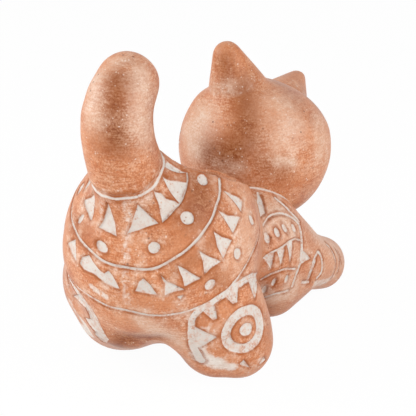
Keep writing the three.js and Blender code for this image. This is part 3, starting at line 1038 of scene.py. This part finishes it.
# The pieces by the nodes that they stand for
pieces = {"tail": part_off(body, block(RUMP + TAIL_AXIS * TAIL_JOINT, TAIL_AXIS), "tail_skin")}
for side, side_name in ((LEFT, "left"), (RIGHT, "right")):
    hind = (f"{side_name}_hind_leg", hind_courses(side), HIND_SPARE)
    front = (f"{side_name}_front_leg", front_courses(side), FRONT_SPARE)
    for node, courses, spare in (hind, front):
        pieces[node] = part_off(body, leg_region(courses, side, spare), f"{node}_skin")
    node = f"{side_name}_ear"
    ear_region = cut(ear(side, EAR_SPARE), ball(HEAD, HEAD_RADIUS + EAR_SEAT))
    pieces[node] = part_off(head, ear_region, f"{node}_skin")
pieces["nose"] = cut(model_nose(), head, keep=True)
pieces["body_left_half"] = part_off(body, block(ORIGIN, Vector((1, 0, 0))), "body_left_skin")
body.name = "body_right_skin"
pieces["body_right_half"] = body
face_region = block(HEAD, head_frame.to_quaternion() @ Vector((0, -1, 0)))
pieces["head_face_half"] = part_off(head, face_region, "head_face_skin")
head.name = "head_back_skin"
pieces["head_back_half"] = head


# Finish

# Colours of the clay and of the slip
PALE_CLAY = (0.62, 0.270, 0.130, 1)
CLAY = (0.56, 0.212, 0.086, 1)
DARK_CLAY = (0.42, 0.135, 0.046, 1)
# the colour of the painted shade along the edges of the carving
EDGE_SHADE_CLAY = (0.30, 0.078, 0.017, 1)
GRIT = (0.26, 0.07, 0.02, 1)
# the colour of the painted shade, also the tone of the few firing clouds
SHADE_AND_SMOKE_CLAY = (0.25, 0.070, 0.014, 1)
PINHOLE = (0.16, 0.06, 0.03, 1)
# the colour of the painted highlights, a pale slip tint
SLIP_AND_HIGHLIGHT_TINT = (0.70, 0.53, 0.42, 1)
SLIP_HAZE = (0.70, 0.56, 0.46, 1)
SLIP_CRUMB = (0.72, 0.62, 0.54, 1)
SLIP_SMEAR = (0.72, 0.65, 0.59, 1)
SLIP = (0.62, 0.572, 0.525, 1)
STROKE = (0.16, 0.16, 1.0)  # the burnishing stone's streaks are long and thin
CHALKY_ROUGHNESS = 0.85
SMOOTH_ANGLE = math.radians(50)


def add_node(tree, kind, inputs=None, **settings):
    """A shader node with these settings, its inputs linked or set."""
    node = tree.nodes.new(kind)
    for name, value in settings.items():
        setattr(node, name, value)
    for name, value in (inputs or {}).items():
        if isinstance(value, bpy.types.NodeSocket):
            tree.links.new(value, node.inputs[name])
        else:
            node.inputs[name].default_value = value
    return node


def calc(tree, operation, a, b):
    """A sum, a product or the like of two values."""
    return add_node(tree, "ShaderNodeMath", {0: a, 1: b}, operation=operation).outputs["Value"]


def build_terracotta():
    """Burnished orange clay, with white slip in the carving and chalky traces beside it, and with painted
    shade and painted highlights laid into its colour.
    """
    material = bpy.data.materials.new("burnished_terracotta")
    material.use_nodes = True
    tree = material.node_tree
    shader = tree.nodes["Principled BSDF"]

    add = partial(add_node, tree)
    times = partial(calc, tree, "MULTIPLY")
    plus = partial(calc, tree, "ADD")
    less = partial(calc, tree, "SUBTRACT")
    either = partial(calc, tree, "MAXIMUM")

    def noise(place, scale, detail, roughness=0.5):
        settings = {"Vector": place, "Scale": scale, "Detail": detail, "Roughness": roughness}
        return add("ShaderNodeTexNoise", settings).outputs["Fac"]

    def crumbled(place, scale):
        return add("ShaderNodeTexVoronoi", {"Vector": place, "Scale": scale}, feature="F1").outputs

    def between(value, low, high, to_low=0.0, to_high=1.0):
        ends = {"From Min": low, "From Max": high, "To Min": to_low, "To Max": to_high}
        node = add("ShaderNodeMapRange", {"Value": value, **ends}, interpolation_type="SMOOTHSTEP")
        return node.outputs["Result"]

    def blend(factor, a, b):
        return add("ShaderNodeMix", {0: factor, 6: a, 7: b}, data_type="RGBA").outputs[2]

    def mix(factor, a, b):
        return add("ShaderNodeMix", {0: factor, 2: a, 3: b}, data_type="FLOAT").outputs[0]

    def kept(name):
        return add("ShaderNodeAttribute", attribute_name=name).outputs["Fac"]

    place = add("ShaderNodeTexCoord").outputs["Object"]
    carving, chalk, shade_and_fire_cloud, highlight_and_slip_film = [kept(name) for name in ("carving", "chalk", "shade_and_fire_cloud", "highlight_and_slip_film")]

    # The fired body colour, darker and redder in patches, darkened further by the painted shade, with the
    # streaks of the burnishing stone
    patches = noise(place, 30, 6, 0.62)
    clay = add("ShaderNodeValToRGB", {"Fac": patches})
    ramp = clay.color_ramp
    ramp.elements[0].position = 0.32
    ramp.elements[0].color = DARK_CLAY
    ramp.elements[1].position = 0.68
    ramp.elements[1].color = PALE_CLAY
    ramp.elements.new(0.5).color = CLAY
    # painted shade: the clay darkened where the shade clouds lie
    shade_and_smoke = times(shade_and_fire_cloud, between(patches, 0.25, 0.6, 0.7, 1.0))
    fired_and_shaded = blend(shade_and_smoke, clay.outputs["Color"], SHADE_AND_SMOKE_CLAY)
    strokes = []
    for slant in ((0.5, 0.3, 0.0), (-0.25, 0.2, 0.0)):
        run = add("ShaderNodeMapping", {"Vector": place, "Rotation": slant, "Scale": STROKE})
        strokes.append(noise(run.outputs["Vector"], 1100, 3, 0.6))
    streaks = mix(between(noise(place, 14, 1), 0.44, 0.56), *strokes)
    fine = noise(place, 420, 5, 0.7)
    grain = noise(place, 900, 2)
    mottle = noise(place, 110, 7, 0.72)
    grained = blend(between(grain, 0.4, 0.75, 0.0, 0.3), fired_and_shaded, GRIT)

    # Painted highlights as pale films, partly slip that the wiping left, in streaks, and a haze of slip
    # beside the carving
    dust = noise(place, 1000, 3, 0.65)
    uneven = plus(times(dust, 0.7), plus(times(streaks, 0.45), times(mottle, 0.5)))
    brushed = between(uneven, 0.62, 1.03, 0.65, 1.3)
    # clear is where there is no painted shade; the films and the haze are kept off the painted shade
    clear = less(1.0, times(shade_and_fire_cloud, 0.75))
    # painted highlights, with a faint pale film everywhere outside the painted shade
    wiped_and_highlit = times(plus(highlight_and_slip_film, times(clear, 0.1)), brushed)
    highlit_and_filmed = blend(wiped_and_highlit, grained, SLIP_AND_HIGHLIGHT_TINT)
    beside = between(carving, 6.0, 0.3, 0.0, 0.5)
    haze = times(between(mottle, 0.46, 0.62), plus(either(beside, chalk), 0.06))
    haze = times(haze, clear)
    hazy = blend(times(haze, between(fine, 0.35, 0.6, 0.5, 1.1)), highlit_and_filmed, SLIP_HAZE)
    smeared = times(between(plus(fine, times(chalk, 0.45)), 0.62, 0.86), chalk)
    smudged = blend(smeared, hazy, SLIP_SMEAR)
    crumbs = crumbled(place, 760.0)
    picks = add("ShaderNodeSeparateColor", {"Color": crumbs["Color"]}).outputs
    specks = times(between(crumbs["Distance"], 0.36, 0.22), between(picks["Red"], 0.84, 0.88))
    dusty = blend(times(specks, between(mottle, 0.4, 0.62, 0.08, 0.8)), smudged, SLIP_CRUMB)
    dull = times(between(noise(place, 40, 3), 0.4, 0.6, 0.3, 1.2), between(highlight_and_slip_film, 0.1, 0.5, 1.0, 0.35))
    wear = times(between(uneven, 0.62, 1.03, 0.26, -0.26), dull)
    rubbed = add("ShaderNodeGamma", {"Color": dusty, "Gamma": plus(wear, 1.06)}).outputs["Color"]

    # Painted shade darkens the clay along the edges of the carving, and its floor holds the slip, worn thin
    # in places
    ragged = plus(carving, times(less(fine, 0.5), 0.7))
    # painted shade: a dark band just outside the edges of the carving
    edge_shade = times(between(ragged, 1.9, 0.3), between(ragged, -0.35, 0.15))
    edge_shaded = blend(times(edge_shade, between(mottle, 0.4, 0.6, 0.85, 0.35)), rubbed, EDGE_SHADE_CLAY)
    slip_depth = between(ragged, 0.22, -0.28)
    height_up = add("ShaderNodeSeparateXYZ", {"Vector": place}).outputs["Z"]
    thinnest = between(height_up, 0.04, 0.1, 0.35, 0.75)
    worn = between(noise(place, 360, 6, 0.78), 0.38, 0.56, thinnest, 1.0)
    chips = times(between(crumbs["Distance"], 0.5, 0.3), between(picks["Green"], 0.80, 0.86, 0.0, 0.55))
    slip = times(times(slip_depth, worn), less(1.0, chips))
    coloured = blend(slip, edge_shaded, SLIP)

    # Pinholes
    rare = between(noise(place, 70, 2), 0.56, 0.62)
    pits = times(between(crumbled(place, 230.0)["Distance"], 0.17, 0.08), rare)
    pitted = blend(times(pits, 0.7), coloured, PINHOLE)
    tree.links.new(pitted, shader.inputs["Base Color"])

    # A burnished gloss, dull where there is slip, over a fine grain
    polish = between(patches, 0.3, 0.7, 0.36, 0.46)
    chalky = either(slip, times(either(haze, smeared), 0.8))
    tree.links.new(mix(chalky, polish, CHALKY_ROUGHNESS), shader.inputs["Roughness"])
    shader.inputs["Specular IOR Level"].default_value = 0.2
    shader.inputs["Sheen Weight"].default_value = 0.05
    shader.inputs["Sheen Roughness"].default_value = 0.45

    relief = plus(times(fine, 0.35), times(streaks, 0.35))
    relief = less(plus(relief, times(slip, times(grain, 0.5))), pits)
    bump = add("ShaderNodeBump", {"Height": relief, "Strength": 0.35, "Distance": 0.0003})
    tree.links.new(bump.outputs["Normal"], shader.inputs["Normal"])
    return material


terracotta = build_terracotta()
for node, piece in pieces.items():
    points, normals = skin_of(piece)
    if node == "nose" or "ear" in node or "head" in node:
        carving = carve_head(points) if node == "head_face_half" else np.full(len(points), FAR)
        chalk = smear_head(points)
    else:
        carving = carve_body(points, normals)
        chalk = smear_body(points, normals)
    mark(piece, "carving", carving)
    mark(piece, "chalk", chalk)
    # the painted shade, partly firing tone, and the painted highlights, partly slip film, kept for each point
    mark(piece, "shade_and_fire_cloud", settle(points, SHADE_AND_FIRE_CLOUDS))
    mark(piece, "highlight_and_slip_film", settle(points, HIGHLIGHT_AND_SLIP_FILMS))
    piece.data.materials.clear()
    piece.data.materials.append(terracotta)
    choose(piece)
    bpy.ops.object.shade_smooth_by_angle(angle=SMOOTH_ANGLE)
    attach(piece, "root")
    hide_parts(node)


# Studio

# The camera's turn and tilt, its distance in millimetres, what it looks at, and the picture in pixels
VIEW_TURN = math.radians(27)
VIEW_TILT = math.radians(21.5)
VIEW_DISTANCE = 900
VIEW_MIDDLE = Vector((0, -0.32, 67.5))
PICTURE_WIDTH = 416
FOCAL_PIXELS = 1636
OFFSET_PIXELS = (4, 1.5)
SENSOR_WIDTH = 36
VIEW_END = 50  # in metres
# Each soft lamp: azimuth and elevation in degrees, distance and size in metres, and power in watts
LAMPS = {
    "left_box": (120, 26, 0.9, 0.7, 6.2),
    "right_box": (268, 26, 0.9, 0.7, 4.8),
    "top_box": (207, 75, 1.0, 0.8, 1.1),
    "low_box": (200, 12, 1.1, 0.6, 3.4),
}
LAMP_AIM = Vector((0, 0, 0.08))
WHITE = (1, 1, 1, 1)
PAPER = (0.85, 0.85, 0.85, 1)
PAPER_ROUGHNESS = 0.9
PAPER_SIZE = 6
PAPER_WHITENESS = 0.97  # the rest is lit, and holds the shadow
SURROUND_LIGHT = 0.4


def place_camera():
    """The camera at the photograph's viewing angle."""
    back = Vector((
        -math.sin(VIEW_TURN) * math.cos(VIEW_TILT),
        math.cos(VIEW_TURN) * math.cos(VIEW_TILT),
        math.sin(VIEW_TILT),
    ))
    right = Vector((-math.cos(VIEW_TURN), -math.sin(VIEW_TURN), 0))
    up = back.cross(right)
    scale = FOCAL_PIXELS / VIEW_DISTANCE
    middle = VIEW_MIDDLE - right * (OFFSET_PIXELS[0] / scale) - up * (OFFSET_PIXELS[1] / scale)
    camera = bpy.data.objects.new("camera", bpy.data.cameras.new("camera"))
    bpy.context.scene.collection.objects.link(camera)
    camera.data.sensor_width = SENSOR_WIDTH
    camera.data.lens = SENSOR_WIDTH * FOCAL_PIXELS / PICTURE_WIDTH
    camera.data.clip_end = VIEW_END
    axes = Matrix((right, up, back)).transposed().to_4x4()
    camera.matrix_world = Matrix.Translation((middle + back * VIEW_DISTANCE) * MM) @ axes
    bpy.context.scene.camera = camera


def soft_light(name, azimuth, elevation, distance, size, power):
    """A round soft lamp that faces the planter."""
    a = math.radians(azimuth)
    e = math.radians(elevation)
    back = Vector((math.sin(a) * math.cos(e), -math.cos(a) * math.cos(e), math.sin(e)))
    lamp = bpy.data.objects.new(name, bpy.data.lights.new(name, "AREA"))
    bpy.context.scene.collection.objects.link(lamp)
    lamp.data.shape = "DISK"
    lamp.data.size = size
    lamp.data.energy = power
    lamp.visible_camera = False
    place = LAMP_AIM + back * distance
    lamp.matrix_world = Matrix.Translation(place) @ back.to_track_quat("Z", "Y").to_matrix().to_4x4()


def seen_as_white(tree, lit, kind, share):
    """Let the camera and mirrors see plain white in place of a share of a shader."""
    rays = add_node(tree, "ShaderNodeLightPath").outputs
    seen = rays["Is Camera Ray"]
    for name in ("Is Glossy Ray", "Is Transmission Ray"):
        seen = calc(tree, "MAXIMUM", seen, rays[name])
    part = calc(tree, "MULTIPLY", seen, share)
    white = add_node(tree, kind, {"Color": WHITE, "Strength": 1}).outputs[0]
    return add_node(tree, "ShaderNodeMixShader", {0: part, 1: lit, 2: white}).outputs["Shader"]


def build_studio():
    """A white paper floor, four soft lamps and a pale surround."""
    floor = new_form(bpy.ops.mesh.primitive_plane_add, size=PAPER_SIZE)
    floor.name = "floor"
    paper = bpy.data.materials.new("white_paper")
    paper.use_nodes = True
    tree = paper.node_tree
    sheet = tree.nodes["Principled BSDF"]
    sheet.inputs["Base Color"].default_value = PAPER
    sheet.inputs["Roughness"].default_value = PAPER_ROUGHNESS
    seen = seen_as_white(tree, sheet.outputs["BSDF"], "ShaderNodeEmission", PAPER_WHITENESS)
    tree.links.new(seen, tree.nodes["Material Output"].inputs["Surface"])
    floor.data.materials.append(paper)
    for name, settings in LAMPS.items():
        soft_light(name, *settings)
    world = bpy.data.worlds.new("studio")
    bpy.context.scene.world = world
    world.use_nodes = True
    tree = world.node_tree
    surround = tree.nodes["Background"]
    surround.inputs["Color"].default_value = WHITE
    surround.inputs["Strength"].default_value = SURROUND_LIGHT
    seen = seen_as_white(tree, surround.outputs["Background"], "ShaderNodeBackground", 1.0)
    tree.links.new(seen, tree.nodes["World Output"].inputs["Surface"])


place_camera()
build_studio()
bpy.context.scene.view_settings.view_transform = "Standard"
